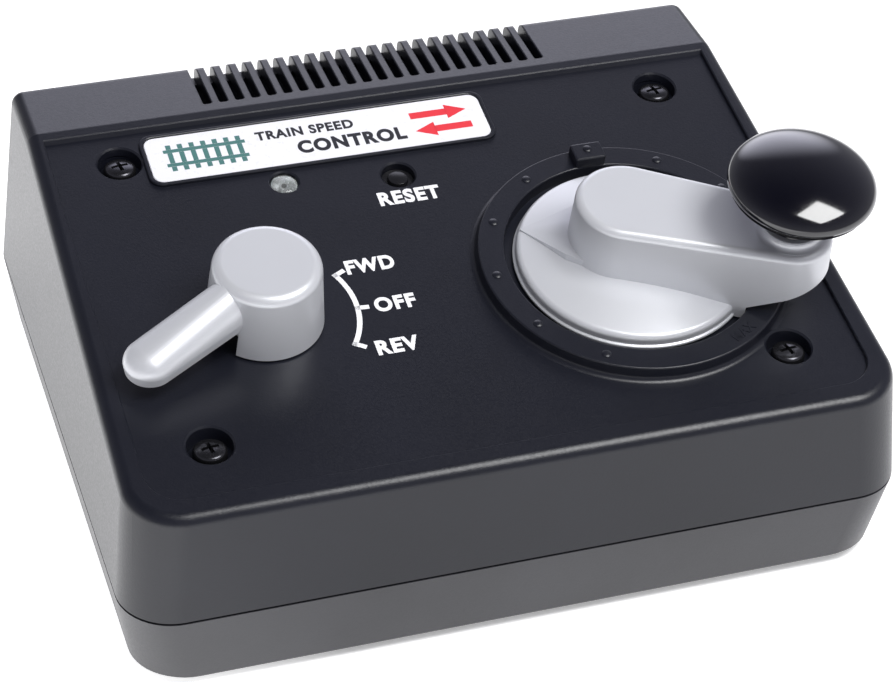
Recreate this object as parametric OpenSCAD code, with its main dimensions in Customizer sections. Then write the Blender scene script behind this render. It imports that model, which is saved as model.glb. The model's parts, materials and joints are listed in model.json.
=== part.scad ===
// Model railway controller: a sloping two-part case with a crank-arm speed dial,
// a direction lever, an indicator, a reset button and its electrics inside.
// Origin at the middle of the footprint on the table, +Z up, +Y to the rear.

/* [Case] */
// Width of the case at the seam
case_w = 136; // [132:1:150]
// Depth of the case at the seam
case_d = 110.4; // [108:0.2:116]
// Height of the seam above the table
seam_z = 16; // [15:0.5:18]
// Height of the flat ridge at the rear above the table
ridge_z = 52.8; // [52.4:0.1:53.2]
// Height of the control panel's plane above the front seam line
panel_front_z = 34.5; // [34.3:0.1:34.7]
// Slope of the control panel in degrees
panel_slope = 10.85; // [10.7:0.05:11]
// Inward lean of the upper case's walls in degrees
wall_draft = 5.1; // [4.5:0.1:5.5]
// Wall thickness
wall = 2.4; // [2:0.1:2.6]
// Radius of the two front corners seen from above
corner_r = 9.5; // [8:0.5:12]
// Depth of the recessed control panel below its frame
recess_depth = 0.78; // [0.5:0.02:1]
// How far the rubber feet stand proud of the underside
foot_h = 1.5; // [1:0.1:2]

/* [Vents] */
// Number of ventilation slots in the ridge
vent_count = 22; // [10:1:22]
// Distance between slots
vent_pitch = 3; // [2.8:0.01:3.05]
// Width of a slot
vent_w = 1.5; // [1.2:0.1:1.8]
// Depth of the notch that each slot cuts in the rear wall
vent_drop = 3; // [2.6:0.1:4]

/* [Speed dial] */
// Sideways place of the dial's axis
dial_u = 30.3; // [29:0.1:31]
// Place of the dial's axis up the slope from the front seam line
dial_v = 41.2; // [40:0.1:42]
// Angle at which the arm rests, counter-clockwise from +X
arm_angle = -27.2; // [-45:0.1:20]
// Radius of the silver disc
disc_r = 20.2; // [19:0.1:20.5]
// Radius of the knob's pin circle
arm_reach = 25.1; // [24.5:0.1:25.5]
// Height of the arm's top above the panel
arm_top = 15; // [14:0.5:16]
// Radius of the black grip knob
knob_r = 12.5; // [11:0.1:12.8]

/* [Direction lever] */
// Sideways place of the lever's axis
lever_u = -34.8; // [-36:0.1:-33]
// Place of the lever's axis up the slope
lever_v = 42; // [41:0.1:43]
// Angle at which the handle rests, counter-clockwise from +X
lever_angle = 205; // [155:25:205]
// Length of the handle from the axis to its tip
lever_reach = 28.5; // [26:0.1:30]

/* [Name plate] */
// Width of the plate
plate_w = 62.1; // [50:0.1:63]
// Height of the plate up the slope
plate_d = 11.3; // [9:0.1:12]

/* [Hidden] */
$fn = 64;
eps = 0.01;

seam_gap = 0.45;
edge_r = 2.3;
rear_corner_r = 2;
tray_inset = 2;
ridge_front_y = 36;
recess_u = 62.05;
recess_v = [6.4, 90.4];
recess_corner_r = 6;
recess_rear_run = 0.6;
lip_clear = 0.45;
lip_t = 1.2;
lip_rise = 2.2;

screw_u = 50.2;
screw_v = [17, 83.5];
screw_head_r = 2.85;
screw_head_h = 2.2;
screw_r = 1.5;
screw_len = 14;
screw_seat = 2.6;
boss_drop = 6;
boss_r = 5;
post_r = 4.5;
fit_gap = 0.1;
seat_gap = 0.05;

ring_r = [22.25, 26.75];
ring_foot_r = 27.7;
ring_h = 2.5;
ring_dot_r = 24.6;
stop_h = 4.5;
stop_half_w = 2.8;

dome_h = 5.3;
disc_edge_h = 3.1;
disc_gap = 0.5;
hub_back = 2.6;
hub_r = 8.8;
arm_end_s = 25.4;
arm_end_r = 7.1;
arm_fillet = 1.35;
under_start = [20.5, 2.95];
under_slope = 23.8;
boss_top = 16.5;
pin_r = 2;
running_gap = 0.05;
knob_bottom = boss_top + 0.3;
knob_rim_h = 24.1;
knob_mid_h = 25.7;
knob_top_h = 30.1;
neck_r = 4.5;
shaft_r = 3;
bushing_r = 3.5;
nut_af_r = 6;

lever_r = [10.05, 9.2];
lever_h = 13.6;
lever_lift = 0.3;
lever_fillet = 1.8;
handle_s = [7, 24.1];
handle_part_h = [7.6, 5.25];
handle_half_w = [4.3, 4.4];
handle_rise = [5.6, 3.5];
handle_drop = 1.6;
slot_half_w = 3.9;
switch_bushing_r = 4.5;
switch_nut_r = 7;

plate_u = -14.25;
plate_v = 82.45;
plate_border = 0.75;
border_h = 0.6;
led_at = [-23.1, 73.2];
led_r = 2.4;
reset_at = [-2.9, 70.8];
reset_hole_r = 3;
button_r = 1.8;
button_top = -0.7;
sleeve_top = -1.6;
led_sink = 1.1;

floor_z = foot_h + wall;
board_z = 10;
board_t = 1.6;
board_size = [88, 66];
board_y = -3;
board_hole = [38, 28];
feet_at = [50, 40];
foot_r = 6;
sink_x = [-24, 30];
sink_y = [31, 46];
fin_count = 10;
header_x = [-28, -16, 14, 28];
header_wire_z = 19.5;

jack_at = [-50, 36];
jack_r = 4;
jack_mouth_r = 3.15;
socket_at = [-34, 36];
socket_size = [15, 9.5];
socket_mouth = [11, 5.6];
contact_x = 2.7;
contact_t = 0.8;
switch_at = [45, 38.5];
switch_size = [13, 19];
rocker_size = [10.4, 16.4];

board_top = board_z + board_t;
draft_run = tan(wall_draft);
slope_y = cos(panel_slope);
slope_z = sin(panel_slope);

// How far a wall has leaned in at a given height
function inset(z) = (z - seam_z) * draft_run;
// Table coordinates of a point on the panel's surface
function panel_y(v) = -case_d / 2 + v * slope_y;
function panel_z(v) = panel_front_z + v * slope_z;

front_inset = inset(panel_front_z);

// Places children on the panel: u across, v up the slope, h above the surface
module on_panel(u, v, h = 0)
    translate([0, -case_d / 2, panel_front_z])
        rotate([panel_slope, 0, 0]) translate([u, v, h]) children();

// Places children on the rear wall, with their +Z pointing out of it
module on_rear(x, z, out = 0)
    translate([x, case_d / 2 - inset(z) + seat_gap, z])
        rotate([wall_draft - 90, 0, 0]) translate([0, 0, out]) children();

// Places children on the dial, turned so that their +X runs along the arm
module on_dial(h = 0)
    on_panel(dial_u, dial_v, h) rotate([0, 0, arm_angle]) children();

module on_lever(h = 0)
    on_panel(lever_u, lever_v, h) rotate([0, 0, lever_angle]) children();

module rounded_rect(w, d, r) {
    square([w - 2 * r, d], center = true);
    square([w, d - 2 * r], center = true);
    for (x = [-1, 1], y = [-1, 1])
        translate([x * (w / 2 - r), y * (d / 2 - r)]) circle(r);
}

module tube(r_out, r_in, h)
    difference() {
        cylinder(r = r_out, h = h);
        translate([0, 0, -eps]) cylinder(r = r_in, h = h + 2 * eps);
    }

// Direction of a wire's route at one of its points
function heading(route, i) =
    let (step = route[min(i + 1, len(route) - 1)] - route[max(i - 1, 0)]) step / norm(step);
// Corners of the wire's eight-sided section at one of its points
function section(route, i, r) =
    let (
        along = heading(route, i),
        across = cross(along, [0.6, 0.8, 0]) / norm(cross(along, [0.6, 0.8, 0])),
        up = cross(along, across)
    ) [for (a = [0 : 45 : 315]) route[i] + r * (across * cos(a) + up * sin(a))];

// A wire that follows a route of points
module wire(route, r) {
    last = len(route) - 1;
    polyhedron(
        points = [for (i = [0 : last]) each section(route, i, r)],
        faces = concat(
            [[for (k = [0 : 7]) k]],
            [for (i = [0 : last - 1], k = [0 : 7])
                [i * 8 + k, (i + 1) * 8 + k, (i + 1) * 8 + (k + 1) % 8, i * 8 + (k + 1) % 8]],
            [[for (k = [7 : -1 : 0]) last * 8 + k]]
        )
    );
}

// The case's outer form, or its inside when g is the wall thickness
module case_form(g, base_z) {
    rc = corner_r - g;
    rr = max(rear_corner_r - g, 0.6);
    er = max(edge_r - g, 0.6);
    top_h = (g > 0 ? -g : recess_depth) - er;
    ring_v = (g + front_inset + rc + top_h * slope_z) / slope_y;
    ridge_in = g + inset(ridge_z - er) + er;
    hull() {
        for (s = [-1, 1]) {
            translate([s * (case_w / 2 - g - rc), -case_d / 2 + g + rc, base_z])
                cylinder(r = rc, h = eps, $fn = 48);
            translate([s * (case_w / 2 - g - rr), case_d / 2 - g - rr, base_z])
                cylinder(r = rr, h = eps, $fn = 24);
            on_panel(s * (case_w / 2 - g - front_inset - rc), ring_v, top_h)
                rotate_extrude($fn = 48) translate([rc - er, 0]) circle(er, $fn = 24);
            for (y = [ridge_front_y, case_d / 2 - ridge_in])
                translate([s * (case_w / 2 - ridge_in), y, ridge_z - g - er])
                    sphere(er, $fn = 24);
        }
    }
}

// The tray's outer form, or its inside when g is the wall thickness
module tray_form(g, base_z, top_z) {
    rc = corner_r - g;
    rr = max(rear_corner_r - g, 0.6);
    hull()
        for (s = [-1, 1], level = [[top_z, 0, 0], [base_z + 0.8, tray_inset, 0], [base_z, tray_inset, 0.6]]) {
            in = g + level[1] + level[2];
            translate([s * (case_w / 2 - in - rc), -case_d / 2 + in + rc, level[0]])
                cylinder(r = rc, h = eps, $fn = 48);
            translate([s * (case_w / 2 - in - rr), case_d / 2 - in - rr, level[0]])
                cylinder(r = rr, h = eps, $fn = 24);
        }
}

// The fixed scale ring around the dial, with its dots and the arm's stop
module dial_scale() {
    on_panel(dial_u, dial_v) {
        rotate_extrude() polygon([
            [ring_r[0], -0.5], [ring_foot_r, -0.5], [ring_foot_r, 0.5], [ring_r[1] + 0.4, 0.9],
            [ring_r[1], ring_h], [ring_r[0], ring_h]
        ]);
        for (a = [-30 : 30 : 240])
            if (a != 90)
                rotate([0, 0, a]) translate([ring_dot_r, 0, ring_h - 0.1])
                    cylinder(r = 0.9, h = 0.4, $fn = 24);
        translate([-stop_half_w, ring_r[0], 0])
            cube([2 * stop_half_w, ring_r[1] - ring_r[0] - 0.5, stop_h]);
    }
}

module vent_slots()
    for (i = [0 : vent_count - 1])
        translate([
            (i - (vent_count - 1) / 2) * vent_pitch - vent_w / 2, ridge_front_y + 2.2, ridge_z - vent_drop
        ])
            cube([vent_w, case_d / 2 - ridge_front_y, vent_drop + 1]);

module upper_case()
    color("#26272c") difference() {
        union() {
            difference() {
                case_form(0, seam_z + seam_gap / 2);
                case_form(wall, seam_z - 1);
                on_panel(0, (recess_v[0] + recess_v[1]) / 2)
                    linear_extrude(5) {
                        rounded_rect(2 * recess_u, recess_v[1] - recess_v[0], recess_corner_r);
                        translate([0, recess_corner_r / 2]) square(
                            [2 * recess_u, recess_v[1] - recess_v[0] - recess_corner_r], center = true
                        );
                    }
                // The slope that leads from the panel's rear edge up to the frame
                on_panel(-recess_u, recess_v[1]) rotate([90, 0, 90]) linear_extrude(2 * recess_u)
                    polygon([
                        [-1, 0], [0, 0], [2 * recess_rear_run, 2 * recess_depth], [-1, 2 * recess_depth]
                    ]);
            }
            dial_scale();
            on_panel(plate_u, plate_v, -0.5)
                linear_extrude(border_h + 0.5)
                    rounded_rect(plate_w + 2 * plate_border, plate_d + 2 * plate_border, 2.4);
            for (x = [-screw_u, screw_u], v = screw_v)
                translate([x, panel_y(v), panel_z(v) - boss_drop])
                    cylinder(r = boss_r, h = boss_drop - 1.2);
        }
        vent_slots();
        for (x = [-screw_u, screw_u], v = screw_v) translate([x, panel_y(v), panel_z(v)]) {
            translate([0, 0, -screw_seat]) cylinder(r = screw_head_r + 1, h = 8);
            translate([0, 0, -boss_drop - 1]) cylinder(r = screw_r + fit_gap, h = 8);
        }
        on_panel(plate_u, plate_v, 0) linear_extrude(3)
            rounded_rect(plate_w + fit_gap, plate_d + fit_gap, 2);
        on_panel(dial_u, dial_v, -5) cylinder(r = bushing_r + fit_gap, h = 10);
        on_panel(lever_u, lever_v, -5) cylinder(r = switch_bushing_r + fit_gap, h = 10);
        on_panel(led_at[0], led_at[1], -5) cylinder(r = led_r + fit_gap, h = 10);
        on_panel(reset_at[0], reset_at[1], -5) cylinder(r = reset_hole_r, h = 10);
        on_rear(jack_at[0], jack_at[1], -6) cylinder(r = jack_r + fit_gap, h = 10);
        on_rear(socket_at[0], socket_at[1], -6)
            linear_extrude(10) square([socket_size[0] - 2, socket_size[1] - 2], center = true);
        on_rear(switch_at[0], switch_at[1], -6)
            linear_extrude(10) square([switch_size[0] + fit_gap, switch_size[1] + fit_gap], center = true);
    }

module lower_case()
    color("#303137") difference() {
        union() {
            difference() {
                tray_form(0, foot_h, seam_z - seam_gap / 2);
                tray_form(wall, floor_z, seam_z + 1);
            }
            // The lip that locates the upper case, on a foot that joins it to the wall
            difference() {
                union() {
                    tray_form(wall + lip_clear, foot_h + 4, seam_z + lip_rise);
                    tray_form(wall - 0.5, foot_h + 2, seam_z - 3);
                }
                tray_form(wall + lip_clear + lip_t, foot_h + 1, seam_z + lip_rise + 1);
            }
            for (x = [-screw_u, screw_u], v = screw_v)
                translate([x, panel_y(v), foot_h + 1])
                    cylinder(r = post_r, h = panel_z(v) - boss_drop - foot_h - 1);
            for (x = [-1, 1], y = [-1, 1])
                translate([x * board_hole[0], board_y + y * board_hole[1], foot_h + 1])
                    cylinder(r = 3.5, h = board_z - foot_h - 1);
        }
        for (x = [-screw_u, screw_u], v = screw_v)
            translate([x, panel_y(v), panel_z(v) - screw_seat - screw_len - 1])
                cylinder(r = screw_r + fit_gap / 2, h = screw_len + 1);
        for (x = [-1, 1], y = [-1, 1]) {
            translate([x * board_hole[0], board_y + y * board_hole[1], board_z - 6])
                cylinder(r = 1.3 + fit_gap / 2, h = 10);
            translate([x * feet_at[0], y * feet_at[1], 0]) cylinder(r = foot_r + fit_gap, h = foot_h + 1);
        }
        translate([0, 0, foot_h - 1]) linear_extrude(1.3) rounded_rect(50 + fit_gap, 30 + fit_gap, 2);
        for (x = [-4 : 4]) for (y = [-1, 1])
            translate([x * 6 - 1, y * 32 - 8, 0]) cube([2, 16, 10]);
    }

module case_screws()
    color("#1c1c1f") for (x = [-screw_u, screw_u], v = screw_v)
        translate([x, panel_y(v), panel_z(v) - screw_seat]) difference() {
            union() {
                rotate_extrude() polygon([
                    [0, 0], [screw_head_r, 0], [screw_head_r, 1.4], [screw_head_r - 0.5, 1.9],
                    [screw_head_r - 1.3, screw_head_h], [0, screw_head_h]
                ]);
                translate([0, 0, -screw_len]) cylinder(r = screw_r, h = screw_len + eps);
            }
            for (a = [0, 90]) rotate([0, 0, a])
                translate([-1.7, -0.35, screw_head_h - 1.2]) cube([3.4, 0.7, 2]);
        }

module rubber_feet()
    color("#2b2b2b") for (x = [-feet_at[0], feet_at[0]], y = [-feet_at[1], feet_at[1]])
        translate([x, y, 0]) rotate_extrude() polygon([
            [0, 0], [foot_r - 0.6, 0], [foot_r, 0.6], [foot_r, foot_h + 1], [0, foot_h + 1]
        ]);

module rating_plate()
    color("silver") translate([0, 0, foot_h + 0.05]) linear_extrude(0.25) rounded_rect(50, 30, 2);

module name_plate()
    color("#e6e6ea") on_panel(plate_u, plate_v, 0) linear_extrude(border_h - 0.15)
        rounded_rect(plate_w, plate_d, 1.95);

module power_led()
    color("#d8dcd8") on_panel(led_at[0], led_at[1], -led_sink) {
        translate([0, 0, -5]) cylinder(r = led_r, h = 5);
        intersection() {
            sphere(led_r);
            translate([0, 0, -eps]) cylinder(r = led_r, h = 1.1);
        }
        translate([0, 0, -5.9]) cylinder(r = led_r + 0.5, h = 1);
        for (x = [-1.27, 1.27]) translate([x, 0, -11]) cylinder(r = 0.3, h = 5.5);
    }

module circuit_breaker()
    color("#141414") on_panel(reset_at[0], reset_at[1]) difference() {
        union() {
            translate([0, 0, -4]) cylinder(r = reset_hole_r - fit_gap / 2, h = 4 + sleeve_top);
            translate([-7, -5, -20]) cube([14, 10, 17.6 - 0.1]);
            for (x = [-3.5, 3.5]) translate([x - 0.4, -2, -26]) cube([0.8, 4, 6.5]);
        }
        translate([0, 0, -8]) cylinder(r = button_r + running_gap, h = 10);
    }

module reset_button()
    color("#101012") on_panel(reset_at[0], reset_at[1]) rotate_extrude() polygon([
        [0, -6.5], [button_r, -6.5], [button_r, button_top - 0.4], [button_r - 0.4, button_top],
        [0, button_top]
    ]);

// One end of the lever's handle: a flat side below the parting line, a rounded top above it
module handle_end(i)
    translate([handle_s[i], 0, handle_part_h[i]]) rotate_extrude($fn = 40) polygon(concat(
        [[0, -handle_drop], [handle_half_w[i] - 0.3, -handle_drop], [handle_half_w[i], 0]],
        [for (a = [10 : 10 : 90]) [handle_half_w[i] * cos(a), handle_rise[i] * sin(a)]]
    ));

module direction_lever()
    color("#c8c9d0") on_lever() difference() {
        union() {
            rotate_extrude() polygon(concat(
                [[0, lever_lift], [lever_r[0], lever_lift], [lever_r[1], lever_h - lever_fillet]],
                [for (a = [15 : 15 : 90])
                    [lever_r[1] - lever_fillet * (1 - cos(a)), lever_h - lever_fillet * (1 - sin(a))]],
                [[0, lever_h]]
            ));
            hull() {
                handle_end(0);
                translate([lever_reach - handle_s[1] - handle_half_w[1], 0, 0]) handle_end(1);
            }
        }
        translate([0, 0, -1]) cylinder(r = switch_nut_r + 0.6, h = 4.2);
        translate([0, 0, -1]) cylinder(r = shaft_r, h = 11);
        // The slot under the handle that opens the hollow hub
        translate([0, -slot_half_w, -1])
            cube([lever_r[0] + 1, 2 * slot_half_w, handle_part_h[0] - handle_drop]);
    }

module direction_shaft()
    color("#b5b6ba") on_lever(-9) cylinder(r = shaft_r, h = 19);

module direction_switch()
    color("#3a5f43") on_panel(lever_u, lever_v) difference() {
        union() {
            translate([-11, -11, -wall - 12]) cube([22, 22, 12 - 0.1]);
            translate([0, 0, -wall - 1]) cylinder(r = switch_bushing_r, h = wall + 1 + 2.8);
            for (x = [-7.5 : 5 : 7.5], y = [-7, 7])
                translate([x - 0.5, y - 0.2, -wall - 16]) cube([1, 0.4, 4.5]);
        }
        translate([0, 0, -wall - 8]) cylinder(r = shaft_r + running_gap, h = 20);
    }

// A hexagonal nut with a round hole
module hex_nut(r, hole_r, h)
    difference() {
        cylinder(r = r, h = h, $fn = 6);
        translate([0, 0, -1]) cylinder(r = hole_r, h = h + 2);
    }

module direction_nut()
    color("#c9c7bd") on_panel(lever_u, lever_v, 0) hex_nut(switch_nut_r, switch_bushing_r, 2.2);

// The crank arm: a long form that narrows from the hub to the knob
module crank_arm()
    difference() {
        hull() {
            for (end = [[-hub_back, hub_r], [arm_end_s, arm_end_r]]) translate([end[0], 0, 0]) {
                translate([0, 0, disc_gap]) cylinder(r = end[1], h = eps, $fn = 48);
                translate([0, 0, arm_top - arm_fillet])
                    rotate_extrude($fn = 48) translate([end[1] - arm_fillet, 0]) circle(arm_fillet, $fn = 16);
            }
        }
        translate([under_start[0], -15, under_start[1]]) rotate([0, -under_slope, 0])
            translate([0, 0, -20]) cube([40, 30, 20]);
        translate([under_start[0], -15, -1]) cube([20, 30, under_start[1] + 1]);
    }

module dial_pointer()
    hull() {
        translate([-19.7, 0, 1]) cylinder(r = 0.2, h = 2.2, $fn = 16);
        for (y = [-6.3, 6.3]) translate([-10.8, y, 1]) cylinder(r = 0.3, h = 4.6, $fn = 16);
        translate([-hub_back, 0, 1]) cylinder(r = hub_r - 0.2, h = 5, $fn = 48);
    }

module speed_dial()
    color("#c8c9d0") on_dial() difference() {
        union() {
            // The disc: a thin flange, a rounded edge and a shallow dome
            rotate_extrude() polygon(concat(
                [[0, disc_gap], [disc_r + 0.4, disc_gap], [disc_r + 0.4, 1], [disc_r, 1.1]],
                [for (a = [0 : 15 : 75]) [disc_r - 1.2 + 1.2 * cos(a), disc_edge_h - 1.2 + 1.2 * sin(a)]],
                [for (r = [18 : -3 : 0]) [r, dome_h - (dome_h - disc_edge_h) * pow(r / 19, 2)]]
            ));
            crank_arm();
            dial_pointer();
            translate([arm_reach, 0, arm_top - 1]) rotate_extrude() polygon(concat(
                [[0, 0], [6.2, 0], [6.2, 1]],
                [for (a = [0 : 15 : 90]) [6.2 - sin(a), 2 - cos(a)]],
                [[5.2, boss_top - arm_top + 1], [0, boss_top - arm_top + 1]]
            ));
        }
        translate([0, 0, -1]) cylinder(r = nut_af_r + 1.2, h = 5.2);
        translate([0, 0, -1]) cylinder(r = shaft_r, h = 13);
        translate([arm_reach, 0, boss_top - 7]) cylinder(r = pin_r, h = 10);
    }

module crank_pin()
    color("#9a9ba0") on_dial() translate([arm_reach, 0, boss_top - 7]) {
        cylinder(r = pin_r, h = 18);
        translate([0, 0, 16]) cylinder(r = pin_r + 1.2, h = 2);
    }

module crank_knob()
    color("#0c0c0e") on_dial() translate([arm_reach, 0, 0]) difference() {
        rotate_extrude() polygon(concat(
            [[0, knob_bottom], [neck_r, knob_bottom], [neck_r - 0.4, knob_bottom + 3.5]],
            [[neck_r + 0.4, knob_rim_h - 1.6], [knob_r - 2.6, knob_rim_h - 0.6], [knob_r - 0.7, knob_rim_h]],
            [for (a = [-50 : 10 : 80]) [
                (knob_r - 3.4) * cos(max(a, 0)) + 3.4 * cos(a),
                knob_mid_h + (a < 0 ? 1.6 : knob_top_h - knob_mid_h) * sin(a)
            ]],
            [[0, knob_top_h]]
        ));
        translate([0, 0, knob_bottom - 1]) cylinder(r = pin_r + running_gap, h = 9.5);
        translate([0, 0, boss_top + 8.7]) cylinder(r = pin_r + 1.5, h = 2.8);
    }

module speed_shaft()
    color("#b5b6ba") on_dial(-10) cylinder(r = shaft_r, h = 22);

module speed_control()
    color("#51606f") on_panel(dial_u, dial_v) difference() {
        union() {
            translate([0, 0, -wall - 11]) cylinder(r = 12, h = 11 - 0.1);
            translate([0, 0, -wall - 1]) cylinder(r = bushing_r, h = wall + 1 + 3.4);
            translate([-8, -18, -wall - 6]) cube([16, 10, 1.6]);
        }
        translate([0, 0, -wall - 9]) cylinder(r = shaft_r + running_gap, h = 20);
    }

module speed_washer()
    color("#c9c7bd") on_panel(dial_u, dial_v) tube(nut_af_r, bushing_r, 0.5);

module speed_nut()
    color("#c9c7bd") on_panel(dial_u, dial_v, 0.5) hex_nut(nut_af_r, bushing_r, 2);

module main_board()
    color("#1f5b34") translate([0, board_y, board_z]) difference() {
        linear_extrude(board_t) rounded_rect(board_size[0], board_size[1], 1.5);
        for (x = [-1, 1], y = [-1, 1])
            translate([x * board_hole[0], y * board_hole[1], -1]) cylinder(r = 1.6, h = 5);
    }

module board_screws()
    color("#c4c4c4") for (x = [-1, 1], y = [-1, 1])
        translate([x * board_hole[0], board_y + y * board_hole[1], board_top]) {
            cylinder(r = 2.5, h = 1.6);
            translate([0, 0, -7]) cylinder(r = 1.3, h = 7 + eps);
        }

module capacitors()
    color("#27407a") for (x = [-31, -17])
        translate([x, 9, board_top]) cylinder(r = 6.3, h = 25);

module rectifier()
    color("#17181a") translate([8, 14, board_top]) cube([15, 5, 11]);

module control_chip()
    color("#17181a") translate([-12, -26, board_top]) cube([20, 7, 3.6]);

module relay()
    color("#d9d4c2") translate([18, -2, board_top]) cube([19, 13, 12]);

module heat_sink()
    color("#a9adb2") {
        difference() {
            translate([sink_x[0], sink_y[0], floor_z]) cube([sink_x[1] - sink_x[0], 3, 40 - floor_z]);
            translate([3, sink_y[0] - 1, 30]) rotate([-90, 0, 0]) cylinder(r = 1.55, h = 6);
        }
        for (i = [0 : fin_count - 1])
            translate([
                sink_x[0] + i * (sink_x[1] - sink_x[0] - 1.6) / (fin_count - 1), sink_y[0] + 3 - eps, floor_z
            ])
                cube([1.6, sink_y[1] - sink_y[0] - 3, 40 - floor_z]);
    }

module power_transistor()
    color("#17181a") {
        translate([-2, sink_y[0] - 4.5, 16]) cube([10, 4.5, 9]);
        difference() {
            translate([-2, sink_y[0] - 1.3, 25 - eps]) cube([10, 1.3, 7]);
            translate([3, sink_y[0] - 3, 30]) rotate([-90, 0, 0]) cylinder(r = 1.55, h = 6);
        }
        for (x = [0.5, 3, 5.5]) translate([x - 0.4, sink_y[0] - 3, board_top])
            cube([0.8, 0.5, 16 - board_top + eps]);
    }

module transistor_screw()
    color("#c4c4c4") translate([3, sink_y[0] - 1.3, 30]) rotate([-90, 0, 0]) {
        translate([0, 0, -2]) cylinder(r = 2.7, h = 2);
        translate([0, 0, -eps]) cylinder(r = 1.5, h = 7);
    }

module board_headers()
    color("#e8e4da") for (x = header_x)
        translate([x - 4, -34, board_top]) cube([8, 5, 7]);

module power_switch()
    color("#151517") on_rear(switch_at[0], switch_at[1]) difference() {
        union() {
            linear_extrude(1) rounded_rect(switch_size[0] + 2, switch_size[1] + 2, 1);
            translate([0, 0, -15]) linear_extrude(15 + eps) square(switch_size, center = true);
            for (y = [-5, 5]) translate([-3, y - 0.4, -20.5]) cube([6, 0.8, 6]);
        }
        translate([0, 0, -7]) linear_extrude(9)
            square([rocker_size[0] + 0.8, rocker_size[1] + 0.8], center = true);
    }

module power_rocker()
    color("#1b1b1e") on_rear(switch_at[0], switch_at[1], -3) rotate([8, 0, 0]) {
        rotate([90, 0, 90]) translate([0, 0, -rocker_size[0] / 2]) linear_extrude(rocker_size[0])
            polygon([[-7.4, 2.6], [-7.7, 0], [0, -2.4], [7.7, 0], [7.4, 2.6], [0, 3.6]]);
        rotate([0, 90, 0]) cylinder(r = 1.2, h = rocker_size[0] + 0.6, center = true);
    }

module input_jack()
    color("#141416") on_rear(jack_at[0], jack_at[1]) {
        difference() {
            union() {
                cylinder(r = 5.6, h = 1.2);
                translate([0, 0, -13]) cylinder(r = jack_r, h = 13 + eps);
            }
            translate([0, 0, -9.5]) cylinder(r = jack_mouth_r, h = 12);
        }
        translate([0, 0, -11]) cylinder(r = 1, h = 7.5);
        for (a = [0, 90]) rotate([0, 0, a]) translate([2.4, -1, -17]) cube([0.5, 2, 4.5]);
    }

module input_jack_nut()
    color("#c9c7bd") on_rear(jack_at[0], jack_at[1], -wall - 2.4) hex_nut(6, jack_r + eps, 2);

module track_socket()
    color("#d7d3c6") on_rear(socket_at[0], socket_at[1]) difference() {
        union() {
            linear_extrude(1.2) rounded_rect(socket_size[0] + 2, socket_size[1] + 2, 1);
            translate([0, 0, -11])
                linear_extrude(11 + eps) square([socket_size[0] - 2.2, socket_size[1] - 2.2], center = true);
        }
        translate([0, 0, -9]) linear_extrude(12) square(socket_mouth, center = true);
        for (x = [-contact_x, contact_x]) translate([x, 0, -12]) linear_extrude(4)
            square(contact_t + fit_gap, center = true);
    }

module track_contacts()
    color("#c8a84a") on_rear(socket_at[0], socket_at[1])
        for (x = [-contact_x, contact_x]) translate([x, 0, -16]) linear_extrude(12)
            square(contact_t, center = true);

module input_wires()
    color("#b3322c") {
        wire([
            [-47.5, 35, 34], [-43, 29, 28], [-42, 10, 23], [-40, -15, 21], [-28, -31.5, header_wire_z]
        ], 0.8);
        wire([
            [44, 31, 32], [39, 20, 28], [38.5, 0, 26], [37, -20, 22], [28, -31.5, header_wire_z]
        ], 0.8);
    }

module output_wires()
    color("#d9a521") for (d = [-1, 1])
        wire([
            [-34 + contact_x * d, 36.5, 34.5], [-37 + d, 30, 26], [-41 + d, 18, 19 + d],
            [-41 + d, -10, 17.5 + d], [-30 + d, -25, 20 + d], [-16 + d, -31.5, header_wire_z + 1.5 + d]
        ], 0.7);

module control_wires()
    color("#3b3f44") {
        for (i = [-1 : 1])
            wire([
                [dial_u + 4 * i, -33.5, 30], [24 + 3 * i, -35, 26], [14 + 2 * i, -31.5, header_wire_z]
            ], 0.6);
        wire([[-34, -20, 22.5], [-31, -27, 22], [-25.5, -31.5, header_wire_z]], 0.6);
    }

upper_case();
lower_case();
case_screws();
rubber_feet();
rating_plate();
name_plate();
power_led();
circuit_breaker();
reset_button();
direction_lever();
direction_shaft();
direction_switch();
direction_nut();
speed_dial();
crank_pin();
crank_knob();
speed_shaft();
speed_control();
speed_washer();
speed_nut();
main_board();
board_screws();
capacitors();
rectifier();
control_chip();
relay();
heat_sink();
power_transistor();
transistor_screw();
board_headers();
power_switch();
power_rocker();
input_jack();
input_jack_nut();
track_socket();
track_contacts();
input_wires();
output_wires();
control_wires();
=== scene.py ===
"""Model railway controller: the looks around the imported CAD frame, in metres."""
import json
import math

import bmesh
import bpy
from mathutils import Matrix, Vector


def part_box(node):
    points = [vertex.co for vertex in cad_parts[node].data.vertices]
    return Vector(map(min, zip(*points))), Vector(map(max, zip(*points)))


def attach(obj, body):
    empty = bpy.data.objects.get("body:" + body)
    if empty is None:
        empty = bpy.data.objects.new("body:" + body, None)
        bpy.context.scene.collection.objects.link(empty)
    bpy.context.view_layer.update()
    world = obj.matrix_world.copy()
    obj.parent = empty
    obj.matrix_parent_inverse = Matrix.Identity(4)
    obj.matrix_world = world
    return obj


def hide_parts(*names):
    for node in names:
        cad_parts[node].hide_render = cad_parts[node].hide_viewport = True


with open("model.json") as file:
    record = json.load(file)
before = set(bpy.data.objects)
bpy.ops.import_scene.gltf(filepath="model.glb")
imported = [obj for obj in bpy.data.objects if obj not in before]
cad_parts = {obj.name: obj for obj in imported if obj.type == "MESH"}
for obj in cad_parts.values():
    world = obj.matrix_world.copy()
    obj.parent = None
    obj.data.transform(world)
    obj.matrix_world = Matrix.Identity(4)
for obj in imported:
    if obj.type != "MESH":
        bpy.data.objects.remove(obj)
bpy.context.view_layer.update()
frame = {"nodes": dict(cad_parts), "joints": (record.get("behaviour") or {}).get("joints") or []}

MM = 0.001
NODES = frame["nodes"]
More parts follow.
